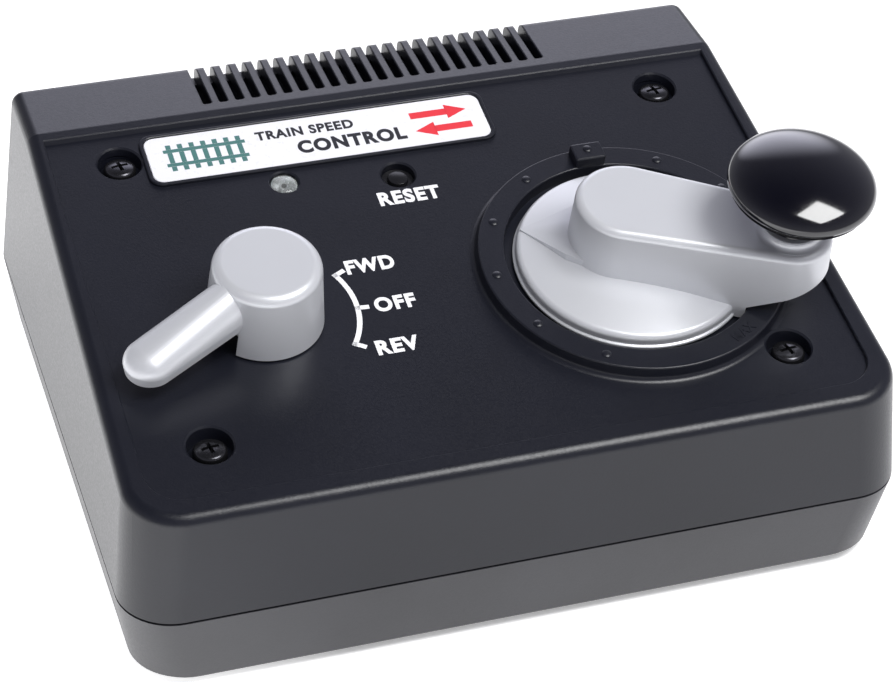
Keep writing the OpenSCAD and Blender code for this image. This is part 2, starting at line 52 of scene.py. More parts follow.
JOINTS = {joint["name"]: joint for joint in frame["joints"]}


# ---------------------------------------------------------------- places on the panel
def joint_place(name):
    return Vector(JOINTS[name]["pos_m"])


PANEL_NORMAL = Vector(JOINTS["speed_turn"]["axis"]).normalized()
PANEL_X = Vector((1, 0, 0))
PANEL_Y = PANEL_NORMAL.cross(PANEL_X)
DIAL = joint_place("speed_turn")
LEVER = joint_place("direction_turn")


def node_centre(node):
    low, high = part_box(node)
    return (low + high) / 2


def on_panel_below(point):
    """The point of the panel's surface that lies under or over a point, along the panel's normal."""
    return point - PANEL_NORMAL * (point - DIAL).dot(PANEL_NORMAL)


def panel_matrix(origin, angle=0.0, height=0.0):
    """A frame on the panel, in mm: +Z is its normal, and +X is turned by angle degrees from the case's +X."""
    turn = Matrix.Rotation(math.radians(angle), 3, "Z")
    axes = Matrix((PANEL_X, PANEL_Y, PANEL_NORMAL)).transposed() @ turn
    place = Matrix.Translation(origin + PANEL_NORMAL * height * MM)
    return place @ axes.to_4x4() @ Matrix.Scale(MM, 4)


# ---------------------------------------------------------------- mesh helpers
def mesh_object(name, bm):
    bmesh.ops.recalc_face_normals(bm, faces=bm.faces)
    mesh = bpy.data.meshes.new(name)
    bm.to_mesh(mesh)
    bm.free()
    piece = bpy.data.objects.new(name, mesh)
    bpy.context.scene.collection.objects.link(piece)
    return piece


def apply_modifiers(piece):
    bpy.context.view_layer.update()
    graph = bpy.context.evaluated_depsgraph_get()
    made = bpy.data.meshes.new_from_object(piece.evaluated_get(graph))
    old = piece.data
    piece.modifiers.clear()
    piece.data = made
    made.name = piece.name
    bpy.data.meshes.remove(old)
    return piece


def boolean(piece, tool, operation):
    """Adds a tool to a piece, or cuts it away, and removes the tool."""
    step = piece.modifiers.new("boolean", "BOOLEAN")
    step.operation = operation
    step.solver = "EXACT"
    step.object = tool
    apply_modifiers(piece)
    bpy.data.objects.remove(tool)
    return piece


def smooth(piece, angle=35.0):
    """Rounded faces shade smoothly, edges sharper than the angle stay sharp, and flat faces stay flat."""
    bm = bmesh.new()
    bm.from_mesh(piece.data)
    limit = math.radians(angle)
    for face in bm.faces:
        face.smooth = True
    for edge in bm.edges:
        edge.smooth = len(edge.link_faces) == 2 and edge.calc_face_angle(math.pi) < limit
    bm.to_mesh(piece.data)
    bm.free()
    step = piece.modifiers.new("normals", "WEIGHTED_NORMAL")
    step.keep_sharp = True
    step.weight = 100
    apply_modifiers(piece)
    return piece


def lathe(name, profile, segments=96):
    """A turned form about +Z from (radius, height) points; a point of radius 0 closes an end."""
    bm = bmesh.new()
    rings = []
    for radius, height in profile:
        if radius < 1e-6:
            rings.append([bm.verts.new((0, 0, height))])
            continue
        ring = []
        for k in range(segments):
            a = 2 * math.pi * k / segments
            ring.append(bm.verts.new((radius * math.cos(a), radius * math.sin(a), height)))
        rings.append(ring)
    for low, high in zip(rings, rings[1:]):
        bridge(bm, low, high)
    if len(rings[0]) > 1 and profile[0] == profile[-1]:
        bmesh.ops.remove_doubles(bm, verts=bm.verts, dist=1e-5)
    return mesh_object(name, bm)


def bridge(bm, low, high):
    """Joins two rings of vertices, or a ring and a single point, with faces."""
    count = max(len(low), len(high))
    for k in range(count):
        n = (k + 1) % count
        if len(low) == 1:
            bm.faces.new((low[0], high[n], high[k]))
        elif len(high) == 1:
            bm.faces.new((low[k], low[n], high[0]))
        else:
            bm.faces.new((low[k], low[n], high[n], high[k]))


def loft(name, rings):
    """A closed form through rings of the same number of points, with flat ends."""
    bm = bmesh.new()
    made = [[bm.verts.new(point) for point in ring] for ring in rings]
    for low, high in zip(made, made[1:]):
        bridge(bm, low, high)
    bm.faces.new(list(reversed(made[0])))
    bm.faces.new(made[-1])
    return mesh_object(name, bm)


def hull(name, points):
    bm = bmesh.new()
    for point in points:
        bm.verts.new(point)
    result = bmesh.ops.convex_hull(bm, input=bm.verts)
    inside = [g for g in result["geom_interior"] if isinstance(g, bmesh.types.BMVert)]
    bmesh.ops.delete(bm, geom=inside, context="VERTS")
    bmesh.ops.dissolve_limit(bm, angle_limit=math.radians(0.2), verts=bm.verts, edges=bm.edges)
    return mesh_object(name, bm)


def arc(cx, cy, radius, start, end, steps):
    """Points on an arc, with its angles in degrees."""
    turns = [math.radians(start + (end - start) * k / steps) for k in range(steps + 1)]
    return [(cx + radius * math.cos(a), cy + radius * math.sin(a)) for a in turns]


def place(piece, matrix):
    piece.data.transform(matrix)
    piece.data.update()
    return piece


def refined(node, name, bevel=0.0, angle=35.0, steps=2):
    """A copy of a CAD node's mesh: its flat faces are whole and its sharp edges rounded by bevel mm."""
    bm = bmesh.new()
    bm.from_mesh(NODES[node].data)
    bmesh.ops.remove_doubles(bm, verts=bm.verts, dist=2e-6)
    bmesh.ops.dissolve_limit(bm, angle_limit=math.radians(0.4), verts=bm.verts, edges=bm.edges)
    piece = mesh_object(name, bm)
    if bevel:
        step = piece.modifiers.new("bevel", "BEVEL")
        step.width = bevel * MM
        step.segments = steps
        step.limit_method = "ANGLE"
        step.angle_limit = math.radians(angle)
        step.use_clamp_overlap = True
        step.harden_normals = False
        apply_modifiers(piece)
    return smooth(piece, angle)


# ---------------------------------------------------------------- materials
def plain_nodes(name):
    material = bpy.data.materials.new(name)
    material.use_nodes = True
    tree = material.node_tree
    shader = next(n for n in tree.nodes if n.type == "BSDF_PRINCIPLED")
    return material, tree, shader


def noise(tree, scale, detail=2.0, rough=0.5):
    place_node = tree.nodes.new("ShaderNodeTexCoord")
    texture = tree.nodes.new("ShaderNodeTexNoise")
    texture.inputs["Scale"].default_value = scale
    texture.inputs["Detail"].default_value = detail
    texture.inputs["Roughness"].default_value = rough
    tree.links.new(place_node.outputs["Object"], texture.inputs["Vector"])
    return texture.outputs["Fac"]


def ramp(tree, source, stops):
    node = tree.nodes.new("ShaderNodeValToRGB")
    node.color_ramp.elements[0].position, node.color_ramp.elements[0].color = stops[0]
    node.color_ramp.elements[1].position, node.color_ramp.elements[1].color = stops[-1]
    for position, color in stops[1:-1]:
        node.color_ramp.elements.new(position).color = color
    tree.links.new(source, node.inputs["Fac"])
    return node.outputs["Color"]


def between(tree, source, low, high):
    node = tree.nodes.new("ShaderNodeMapRange")
    node.inputs["From Min"].default_value = 0.3
    node.inputs["From Max"].default_value = 0.7
    node.inputs["To Min"].default_value = low
    node.inputs["To Max"].default_value = high
    tree.links.new(source, node.inputs["Value"])
    return node.outputs["Result"]


def bump(tree, shader, source, depth, strength=1.0):
    """Relief of a given depth in mm."""
    node = tree.nodes.new("ShaderNodeBump")
    node.inputs["Distance"].default_value = depth * MM
    node.inputs["Strength"].default_value = strength
    tree.links.new(source, node.inputs["Height"])
    tree.links.new(node.outputs["Normal"], shader.inputs["Normal"])


def surface(name, color, rough, vary=0.06, metallic=0.0, grain=2500.0, relief=0.01, spread=0.04,
            coat=0.0, specular=0.5, blotch=60.0):
    """Moulded plastic, paint or metal: colour drifts by vary, roughness by spread, over a fine grain."""
    material, tree, shader = plain_nodes(name)
    shader.inputs["Metallic"].default_value = metallic
    shader.inputs["Coat Weight"].default_value = coat
    shader.inputs["Coat Roughness"].default_value = 0.06
    shader.inputs["Specular IOR Level"].default_value = specular
    dark = tuple(c * (1 - vary) for c in color) + (1.0,)
    light = tuple(min(1.0, c * (1 + vary)) for c in color) + (1.0,)
    drift = noise(tree, blotch, 3.0)
    tree.links.new(ramp(tree, drift, [(0.3, dark), (0.7, light)]), shader.inputs["Base Color"])
    fine = noise(tree, grain, 3.0, 0.6)
    tree.links.new(between(tree, fine, rough - spread, rough + spread), shader.inputs["Roughness"])
    bump(tree, shader, fine, relief)
    return material


def brushed(name, color, rough, stretch=(40.0, 900.0, 900.0), metallic=1.0):
    """Metal with fine lines along X."""
    material, tree, shader = plain_nodes(name)
    shader.inputs["Metallic"].default_value = metallic
    coordinates = tree.nodes.new("ShaderNodeTexCoord")
    mapping = tree.nodes.new("ShaderNodeMapping")
    mapping.inputs["Scale"].default_value = stretch
    tree.links.new(coordinates.outputs["Object"], mapping.inputs["Vector"])
    lines = tree.nodes.new("ShaderNodeTexNoise")
    lines.inputs["Scale"].default_value = 1.0
    lines.inputs["Detail"].default_value = 4.0
    tree.links.new(mapping.outputs["Vector"], lines.inputs["Vector"])
    dark = tuple(c * 0.88 for c in color) + (1.0,)
    light = tuple(min(1.0, c * 1.08) for c in color) + (1.0,)
    line = lines.outputs["Fac"]
    tree.links.new(ramp(tree, line, [(0.3, dark), (0.7, light)]), shader.inputs["Base Color"])
    tree.links.new(between(tree, line, rough - 0.06, rough + 0.06), shader.inputs["Roughness"])
    bump(tree, shader, line, 0.004)
    return material


CASE = surface("case_plastic", (0.0072, 0.008, 0.0132), 0.33, vary=0.10, grain=2300.0, relief=0.02,
               spread=0.05)
TRAY = surface("tray_plastic", (0.034, 0.034, 0.040), 0.38, vary=0.10, grain=2300.0, relief=0.012,
               spread=0.05)
SILVER = surface("silver_paint", (0.62, 0.63, 0.66), 0.36, vary=0.015, metallic=0.35, grain=5200.0,
                 relief=0.0025, spread=0.03)
KNOB = surface("knob_gloss", (0.003, 0.003, 0.006), 0.12, vary=0.2, grain=900.0, relief=0.0004, spread=0.02,
               coat=1.0)
SCREW = surface("screw_black", (0.07, 0.07, 0.078), 0.24, vary=0.2, metallic=0.9, grain=1800.0,
                relief=0.004)
LABEL = surface("label_white", (0.80, 0.80, 0.84), 0.30, vary=0.012, grain=900.0, relief=0.001)
PRINT_WHITE = surface("print_white", (0.82, 0.82, 0.84), 0.45, vary=0.02, grain=1500.0, relief=0.002)
PRINT_DARK = surface("print_dark", (0.014, 0.014, 0.02), 0.45, vary=0.08, grain=1500.0, relief=0.002)
PRINT_TEAL = surface("print_teal", (0.06, 0.17, 0.16), 0.45, vary=0.06, grain=1500.0, relief=0.002)
PRINT_RED = surface("print_red", (0.72, 0.03, 0.045), 0.45, vary=0.04, grain=1500.0, relief=0.002)
BUTTON = surface("button_black", (0.012, 0.012, 0.014), 0.2, vary=0.1, grain=1800.0, relief=0.002)
PART_BLACK = surface("part_black", (0.014, 0.014, 0.016), 0.42, vary=0.12, grain=2600.0, relief=0.008)
RUBBER = surface("foot_rubber", (0.02, 0.02, 0.021), 0.75, vary=0.15, grain=1500.0, relief=0.03)
FOIL = brushed("label_foil", (0.62, 0.62, 0.64), 0.34)
STEEL = brushed("zinc_steel", (0.62, 0.61, 0.58), 0.30)
SWITCH_GREEN = surface("switch_green", (0.03, 0.09, 0.05), 0.35, vary=0.1)
CONTROL = brushed("control_can", (0.42, 0.43, 0.45), 0.36)
BOARD = surface("solder_mask", (0.012, 0.085, 0.035), 0.25, vary=0.25, grain=700.0, relief=0.01,
                blotch=350.0)
CAPACITOR = surface("capacitor_sleeve", (0.02, 0.05, 0.2), 0.28, vary=0.12, grain=600.0, relief=0.004)
NYLON = surface("nylon_cream", (0.62, 0.58, 0.46), 0.42, vary=0.05, grain=1500.0, relief=0.006)
ALUMINIUM = brushed("extruded_aluminium", (0.60, 0.61, 0.63), 0.34, stretch=(900.0, 900.0, 30.0))
BRASS = brushed("plated_brass", (0.78, 0.58, 0.26), 0.26)
WIRE_RED = surface("wire_red", (0.42, 0.02, 0.018), 0.34, vary=0.08, grain=900.0, relief=0.004)
WIRE_YELLOW = surface("wire_yellow", (0.62, 0.36, 0.02), 0.34, vary=0.06, grain=900.0, relief=0.004)
WIRE_GREY = surface("wire_grey", (0.06, 0.06, 0.07), 0.36, vary=0.1, grain=900.0, relief=0.004)


def clear_plastic(name):
    material, tree, shader = plain_nodes(name)
    shader.inputs["Transmission Weight"].default_value = 0.9
    shader.inputs["IOR"].default_value = 1.5
    shader.inputs["Coat Weight"].default_value = 0.5
    drift = noise(tree, 900.0, 3.0)
    tree.links.new(
        ramp(tree, drift, [(0.3, (0.78, 0.82, 0.80, 1.0)), (0.7, (0.92, 0.94, 0.93, 1.0))]),
        shader.inputs["Base Color"])
    tree.links.new(between(tree, drift, 0.05, 0.16), shader.inputs["Roughness"])
    bump(tree, shader, drift, 0.01)
    return material


LENS = clear_plastic("lens_clear")
REFLECTOR = surface("indicator_reflector", (0.75, 0.77, 0.78), 0.25, vary=0.03, metallic=0.6, relief=0.002)


# ---------------------------------------------------------------- finishing a piece
def finish_piece(piece, body, slot, material, *nodes):
    piece.data.materials.clear()
    piece.data.materials.append(material)
    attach(piece, body)
    if nodes:
        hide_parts(*nodes)
    return piece


# ---------------------------------------------------------------- case, tray and plain CAD copies
REFINED = [
    # node, piece, body, slot, material, bevel in mm
    ("lower_case", "tray_shell", "case", "case_tray", TRAY, 0.18),
    ("rubber_feet", "feet", "case", "foot_rubber", RUBBER, 0.15),
    ("rating_plate", "foil_plate", "case", "label_silver", FOIL, 0.05),
    ("power_switch", "rocker_bezel", "case", "part_black", PART_BLACK, 0.15),
    ("power_rocker", "rocker", "rocker", "gloss_black", BUTTON, 0.3),
    ("input_jack", "supply_jack", "case", "part_black", PART_BLACK, 0.12),
    ("track_socket", "socket_shell", "case", "relay_cream", NYLON, 0.12),
    ("track_contacts", "socket_pins", "case", "brass", BRASS, 0.08),
]
for node, name, body, slot, material, bevel in REFINED:
    finish_piece(refined(node, name, bevel), body, slot, material, node)


# ---------------------------------------------------------------- upper case with fine edges, in mm
def ring_points(cx, radius, z, count=72, cy=0.0):
    turns = [2 * math.pi * k / count for k in range(count)]
    return [(cx + radius * math.cos(a), cy + radius * math.sin(a), z) for a in turns]


def joined(name, pieces):
    """One object from several that do not touch."""
    bm = bmesh.new()
    for piece in pieces:
        bm.from_mesh(piece.data)
        bpy.data.objects.remove(piece)
    return mesh_object(name, bm)


def mm_matrix(matrix):
    """A placing matrix that keeps its result in mm."""
    return Matrix.Scale(1 / MM, 4) @ matrix


def rounded(width, depth, radius, steps=12):
    x, y = width / 2 - radius, depth / 2 - radius
    return (arc(x, y, radius, 0, 90, steps) + arc(-x, y, radius, 90, 180, steps)
            + arc(-x, -y, radius, 180, 270, steps) + arc(x, -y, radius, 270, 360, steps))


def raised_form(name, outline_at, levels):
    """A form whose outline, inset by the first number, stands at the height of the second."""
    return loft(name, [[(x, y, z) for x, y in outline_at(inset)] for inset, z in levels])


case_low, case_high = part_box("upper_case")
CASE_W, CASE_D = (case_high.x - case_low.x) / MM, (case_high.y - case_low.y) / MM
SEAM, RIDGE = case_low.z / MM, case_high.z / MM
SEAM_MIDDLE, LEAN = 16.0, math.tan(math.radians(5.1))
DIAL_U, DIAL_V, FRONT_Z = 30.3, 41.2, 34.5
PANEL_FRONT = DIAL - (PANEL_X * DIAL_U + PANEL_Y * DIAL_V) * MM
SLOPE_Y, SLOPE_Z = PANEL_Y.y, PANEL_Y.z
WALL, CORNER_R, REAR_R, EDGE_R = 2.4, 9.5, 2.0, 2.3
RIDGE_FRONT, RECESS, RECESS_RUN = 36.0, 0.78, 0.6
RECESS_U, RECESS_FRONT, RECESS_REAR, RECESS_CORNER = 62.05, 6.4, 90.4, 6.0


def panel_mm(du, dv, height=0.0, angle=0.0):
    return mm_matrix(panel_matrix(PANEL_FRONT + (PANEL_X * du + PANEL_Y * dv) * MM, angle, height))


def lean(z):
    return (z - SEAM_MIDDLE) * LEAN


def case_form(name, g, base, count):
    """The upper case's outer form, or its inside when g is the wall's thickness."""
    corner, rear, edge = CORNER_R - g, max(REAR_R - g, 0.6), max(EDGE_R - g, 0.6)
    top = (-g if g else RECESS) - edge
    ring_v = (g + lean(FRONT_Z) + corner + top * SLOPE_Z) / SLOPE_Y
    ridge_in = g + lean(RIDGE - edge) + edge
    rows = [90.0 * k / (count // 4) for k in range(count // 4 + 1)]
    points = []
    for side in (-1, 1):
        points += ring_points(side * (CASE_W / 2 - g - corner), corner, base, count, -CASE_D / 2 + g + corner)
        points += ring_points(side * (CASE_W / 2 - g - rear), rear, base, count, CASE_D / 2 - g - rear)
        tube = panel_mm(side * (CASE_W / 2 - g - lean(FRONT_Z) - corner), ring_v, top)
        for row in rows:
            a = math.radians(row)
            points += [tube @ Vector(q) for q in
                       ring_points(0, corner - edge + edge * math.cos(a), edge * math.sin(a), count)]
        for y in (RIDGE_FRONT, CASE_D / 2 - ridge_in):
            for row in rows:
                a = math.radians(row)
                points += ring_points(side * (CASE_W / 2 - ridge_in), edge * math.cos(a),
                                      RIDGE - g - edge + edge * math.sin(a), count, y)
    return hull(name, points)


def recess_tool(name):
    """Cuts the panel's recess: straight sides with a fine edge, and a slope at the rear."""
    rings = []
    for height, out, back_run in ((0.0, 0.0, 0.0), (RECESS - 0.14, 0.05, RECESS_RUN - 0.14),
                                  (RECESS + 0.6, 0.8, RECESS_RUN + 0.7)):
        half, corner = RECESS_U + out, RECESS_CORNER + out
        front = RECESS_FRONT - out
        ring = (arc(-half + corner, front + corner, corner, 180, 270, 16)
                + arc(half - corner, front + corner, corner, 270, 360, 16)
                + [(half, RECESS_REAR + back_run), (-half, RECESS_REAR + back_run)])
        rings.append([(x, y, height) for x, y in ring])
    return place(loft(name, rings), panel_mm(0, 0))


RING_IN, RING_OUT, RING_FOOT, RING_H = 22.25, 26.75, 27.7, 2.5
DOT_R, DOT_H, STOP_H, STOP_HALF = 0.85, 0.3, 4.5, 2.8
ring_round = 0.3
scale_ring = lathe("scale_ring", [(RING_IN, -0.5), (RING_FOOT + 0.2, -0.5), (RING_FOOT + 0.2, 0.0)]
                   + arc(RING_FOOT + 0.35, 1.1, 1.1, 262, 186, 10)
                   + arc(RING_OUT - ring_round, RING_H - ring_round, ring_round, 4, 90, 12)
                   + arc(RING_IN + ring_round, RING_H - ring_round, ring_round, 90, 180, 12)
                   + [(RING_IN, -0.5)], 192)
place(scale_ring, panel_mm(DIAL_U, DIAL_V))
DOT_FIRST, DOT_LAST, DOT_STEP, STOP_TURN, DOT_CIRCLE_R = -30, 240, 30, 90, 24.6
dot_cap = [(DOT_R * math.cos(math.radians(b)), DOT_H * math.sin(math.radians(b))) for b in range(0, 90, 9)]
dots = {}
for turn in range(DOT_FIRST, DOT_LAST + 1, DOT_STEP):
    a = math.radians(turn)
    dot = lathe("dot", [(0, -0.2), (DOT_R, -0.2)] + dot_cap + [(0, DOT_H)], 48)
    dots[turn] = place(dot, panel_mm(DIAL_U + DOT_CIRCLE_R * math.cos(a), DIAL_V + DOT_CIRCLE_R * math.sin(a),
                                     STOP_H if turn == STOP_TURN else RING_H))
stop_mid = (RING_IN + RING_OUT) / 2 - 0.25
stop_depth = RING_OUT - RING_IN - 0.5
stop = raised_form("stop", lambda i: rounded(2 * (STOP_HALF - i), stop_depth - 2 * i, 0.35 - i / 4, 12),
                   [(0, 0), (0, STOP_H - 0.3), (0.05, STOP_H - 0.14), (0.14, STOP_H - 0.05), (0.3, STOP_H)])
place(stop, panel_mm(DIAL_U, DIAL_V + stop_mid))
PLATE_U, PLATE_V, PLATE_W, PLATE_D, PLATE_BORDER, BORDER_H = -14.25, 82.45, 62.1, 11.3, 0.75, 0.6
border_w, border_d = PLATE_W + 2 * PLATE_BORDER, PLATE_D + 2 * PLATE_BORDER
border = raised_form(
    "border", lambda i: rounded(border_w - 2 * i, border_d - 2 * i, 2.4 - i, 12),
    [(0, -0.5), (0, BORDER_H - 0.2), (0.04, BORDER_H - 0.09), (0.1, BORDER_H - 0.03), (0.2, BORDER_H)])
place(border, panel_mm(PLATE_U, PLATE_V))

SCREW_HEAD_R = 2.85
low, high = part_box("case_screws")
screw_x = high.x - SCREW_HEAD_R * MM
screw_rows = [low.y + SCREW_HEAD_R * MM, high.y - SCREW_HEAD_R * MM]
rear_seat = min(v.co.z for v in NODES["case_screws"].data.vertices if v.co.y > 0) + 14.0 * MM
front_seat = low.z + 14.0 * MM
SCREWS = [Vector((side * screw_x, y, z))
          for y, z in zip(screw_rows, (front_seat, rear_seat)) for side in (-1, 1)]
SEAT_DEPTH, BOSS_DROP, BOSS_R = 2.6, 6.0, 5.0
bosses = [place(lathe("screw_boss", [(0, -BOSS_DROP), (BOSS_R, -BOSS_DROP), (BOSS_R, -1.2), (0, -1.2)], 64),
                Matrix.Translation(seat / MM + Vector((0, 0, SEAT_DEPTH)))) for seat in SCREWS]

shell = case_form("case_shell", 0.0, SEAM, 64)
boolean(shell, case_form("hollow", WALL, SEAM_MIDDLE - 1.0, 32), "DIFFERENCE")
boolean(shell, recess_tool("recess"), "DIFFERENCE")
boolean(shell, joined("ring_and_border", [scale_ring, border] + bosses), "UNION")
stop_dot = dots.pop(STOP_TURN)
boolean(shell, joined("dots_and_stop", [stop, *dots.values()]), "UNION")
boolean(shell, stop_dot, "UNION")

VENT_COUNT, VENT_PITCH, VENT_W, VENT_DROP, VENT_FLARE = 22, 3.0, 1.5, 3.0, 0.22


def vent_outline(inset, index):
    middle = (index - (VENT_COUNT - 1) / 2) * VENT_PITCH
    half, front, rear = VENT_W / 2 - inset, RIDGE_FRONT + 2.2 + inset, CASE_D / 2 + 4.0
    r = 0.45
    return (arc(middle - half + r, front + r, r, 180, 270, 6)
            + arc(middle + half - r, front + r, r, 270, 360, 6)
            + [(middle + half, rear), (middle - half, rear)])


cuts = []
for i in range(VENT_COUNT):
    cuts.append(raised_form("vent", lambda inset, i=i: vent_outline(inset, i),
                            [(0, RIDGE - VENT_DROP), (0, RIDGE - VENT_FLARE),
                             (-VENT_FLARE / 3, RIDGE - VENT_FLARE / 3), (-VENT_FLARE, RIDGE),
                             (-VENT_FLARE * 2, RIDGE + VENT_FLARE)]))
BORE_R = SCREW_HEAD_R + 1.0
for seat in SCREWS:
    bore = lathe("counterbore", [(0, -4.4), (1.6, -4.4), (1.6, 0), (BORE_R, 0), (BORE_R, 5.4), (0, 5.4)], 96)
    cuts.append(place(bore, Matrix.Translation(seat / MM)))


def panel_hole(radius, u, v, rim=0.18):
    tool = lathe("hole", [(0, -5), (radius, -5), (radius, -rim), (radius + rim * 1.6, rim * 0.6),
                          (radius + rim * 1.6, 4), (0, 4)], 96)
    return place(tool, panel_mm(u, v))


def panel_spot(point):
    """Place of a point along and up the panel, in mm."""
    offset = (point - PANEL_FRONT) / MM
    return offset.dot(PANEL_X), offset.dot(PANEL_Y)


cuts.append(panel_hole(3.6, DIAL_U, DIAL_V))
cuts.append(panel_hole(4.6, *panel_spot(LEVER)))
cuts.append(panel_hole(2.5, *panel_spot(node_centre("power_led")), 0.3))
cuts.append(panel_hole(3.0, *panel_spot(node_centre("reset_button")), 0.3))
pocket = raised_form("pocket", lambda i: rounded(PLATE_W + 0.1 - 2 * i, PLATE_D + 0.1 - 2 * i, 2.0 - i, 12),
                     [(0, 0), (0, BORDER_H - 0.16), (-0.04, BORDER_H - 0.07), (-0.2, BORDER_H + 0.02),
                      (-0.2, BORDER_H + 1)])
cuts.append(place(pocket, panel_mm(PLATE_U, PLATE_V)))
REAR_Z = Vector((0, 1, LEAN)).normalized()
REAR_AXES = Matrix((Vector((1, 0, 0)), REAR_Z.cross(Vector((1, 0, 0))), REAR_Z)).transposed().to_4x4()
for node, size in (("input_jack", None), ("track_socket", (13.0, 7.5)), ("power_switch", (13.1, 19.1))):
    spot = Matrix.Translation(node_centre(node) / MM) @ REAR_AXES
    if size is None:
        tool = lathe("hole", [(0, -30), (4.1, -30), (4.1, 20), (0, 20)], 64)
    else:
        x, y = size[0] / 2, size[1] / 2
        tool = loft("hole", [[(x, y, z), (-x, y, z), (-x, -y, z), (x, -y, z)] for z in (-4.0, 20.0)])
    cuts.append(place(tool, spot))
boolean(shell, joined("cuts", cuts), "DIFFERENCE")
rims = []
for seat in SCREWS:
    rim = lathe("rim", [(0, -0.35), (BORE_R - 0.05, -0.35), (BORE_R + 0.4, 0.1), (BORE_R + 0.4, 1), (0, 1)],
                96)
    rims.append(place(rim, panel_mm(*panel_spot(Vector((seat.x, seat.y, seat.z + SEAT_DEPTH * MM))))))
boolean(shell, joined("rims", rims), "DIFFERENCE")
place(shell, Matrix.Scale(MM, 4))
finish_piece(smooth(shell, 9.5), "case", "case_black", CASE, "upper_case")

# ---------------------------------------------------------------- screws
def screw_piece(name, centre):
    """A pan head with a cross recess and a shank that hides in the case; centre is on the head's seat."""
    head = lathe(name, [(0, -14.0), (1.5, -14.0), (1.5, 0), (SCREW_HEAD_R - 0.1, 0), (SCREW_HEAD_R, 0.1),
                        (SCREW_HEAD_R, 1.15)]
                 + arc(SCREW_HEAD_R - 0.85, 1.15, 0.85, 0, 62, 5) + [(1.2, 2.12), (0, 2.2)], 72)
    for turn in (0.0, 90.0):
        top, foot, half = 1.75, 0.95, 0.36
        slot_tool = hull("slot", [(sx * (top if z > 1 else foot), sy * (half if z > 1 else half * 0.75), z)
                                  for sx in (-1, 1) for sy in (-1, 1) for z in (0.75, 2.6)])
        place(slot_tool, Matrix.Rotation(math.radians(turn + 8.0), 4, "Z"))
        boolean(head, slot_tool, "DIFFERENCE")
    place(head, Matrix.Translation(centre) @ Matrix.Scale(MM, 4))
    return smooth(head, 30.0)


for i, seat in enumerate(SCREWS):
    finish_piece(screw_piece(f"case_screw_{i + 1}", seat), "case", "black_steel", SCREW, "case_screws")

# ---------------------------------------------------------------- direction lever
LEVER_ANGLE = 205.0
HUB_FOOT_R, HUB_TOP_R, HUB_LIFT, HUB_H, HUB_FILLET = 10.05, 9.2, 0.3, 13.6, 1.8
HANDLE_S, HANDLE_PART_H = (7.0, 24.1), (7.6, 5.25)
HANDLE_W, HANDLE_RISE, HANDLE_DROP, SLOT_HALF = (4.3, 4.4), (5.6, 3.5), 1.6, 3.9


def handle_end(i):
    """A flat side below the parting line and a rounded top above it."""
    s, z, w, rise = HANDLE_S[i], HANDLE_PART_H[i], HANDLE_W[i], HANDLE_RISE[i]
    points = ring_points(s, w - 0.3, z - HANDLE_DROP, 96) + ring_points(s, w - 0.07, z - 0.02, 96)
    for row in range(0, 90, 5):
        a = math.radians(row)
        points += ring_points(s, w * math.cos(a), z + 0.06 + (rise - 0.06) * math.sin(a), 96)
    return points + [(s, 0, z + rise)]


hub = lathe("direction_handle", [(0, HUB_LIFT), (HUB_FOOT_R - 0.15, HUB_LIFT), (HUB_FOOT_R, HUB_LIFT + 0.15)]
            + arc(HUB_TOP_R - HUB_FILLET, HUB_H - HUB_FILLET, HUB_FILLET, 4, 90, 14) + [(0, HUB_H)], 144)
handle = hull("handle", handle_end(0) + handle_end(1))
boolean(hub, handle, "UNION")
hub_bore = lathe("bore", [(0, -1), (7.6, -1), (7.6, 3.2), (3.0, 3.2), (3.0, 10.0), (0, 10.0)], 64)
boolean(hub, hub_bore, "DIFFERENCE")
slot_top = HANDLE_PART_H[0] - HANDLE_DROP - 1.0
boolean(hub, hull("slot", [(s, t, z) for s in (0.0, HUB_FOOT_R + 1) for t in (-SLOT_HALF, SLOT_HALF)
                           for z in (-1.0, slot_top)]), "DIFFERENCE")
place(hub, panel_matrix(LEVER, LEVER_ANGLE))
finish_piece(smooth(hub, 15.0), "lever", "dial_silver", SILVER, "direction_lever")

# ---------------------------------------------------------------- speed dial
ARM_ANGLE = -27.2
ARM_TOP, ARM_FILLET, ARM_BASE = 15.0, 1.35, 0.5
HUB_S, HUB_R = -2.6, 8.8
END_S, END_R = 25.4, 7.1
DRAFT = math.tan(math.radians(1.6))
END_DRAFT = math.tan(math.radians(4.0))
REACH, BOSS_TOP = 25.1, 16.5
DISC_R = 20.2

disc = lathe("speed_crank", [(0, ARM_BASE), (DISC_R + 0.3, ARM_BASE), (DISC_R + 0.4, 0.6), (DISC_R + 0.4, 0.9),
                             (DISC_R + 0.3, 1.0), (DISC_R, 1.15)]
             + arc(DISC_R - 1.2, 1.9, 1.2, 0, 75, 8)
             + [(r, 5.3 - 2.2 * (r / 19.0) ** 2) for r in (18.0, 16.0, 13.0, 10.0, 7.0, 4.0, 2.0)]
             + [(0, 5.3)], 160)
arm_points = []
for centre, radius, lean in ((HUB_S, HUB_R, DRAFT), (END_S, END_R, END_DRAFT)):
    arm_points += ring_points(centre, radius + lean * (ARM_TOP - ARM_BASE), ARM_BASE, 120)
    for inset, height in arc(ARM_FILLET, ARM_TOP - ARM_FILLET, ARM_FILLET, 180, 90, 8):
        arm_points += ring_points(centre, radius - inset + lean * (ARM_TOP - height), height, 120)
arm = hull("arm", arm_points)
UNDER_S, UNDER_H, UNDER_RISE = 20.5, 2.95, math.tan(math.radians(23.8))
under = hull("under", [(s, t, z) for t in (-20, 20) for s, z in
                       ((UNDER_S, -2), (UNDER_S, UNDER_H), (UNDER_S + 20, UNDER_H + 20 * UNDER_RISE),
                        (UNDER_S + 20, -2))])
boolean(arm, under, "DIFFERENCE")
boolean(disc, arm, "UNION")
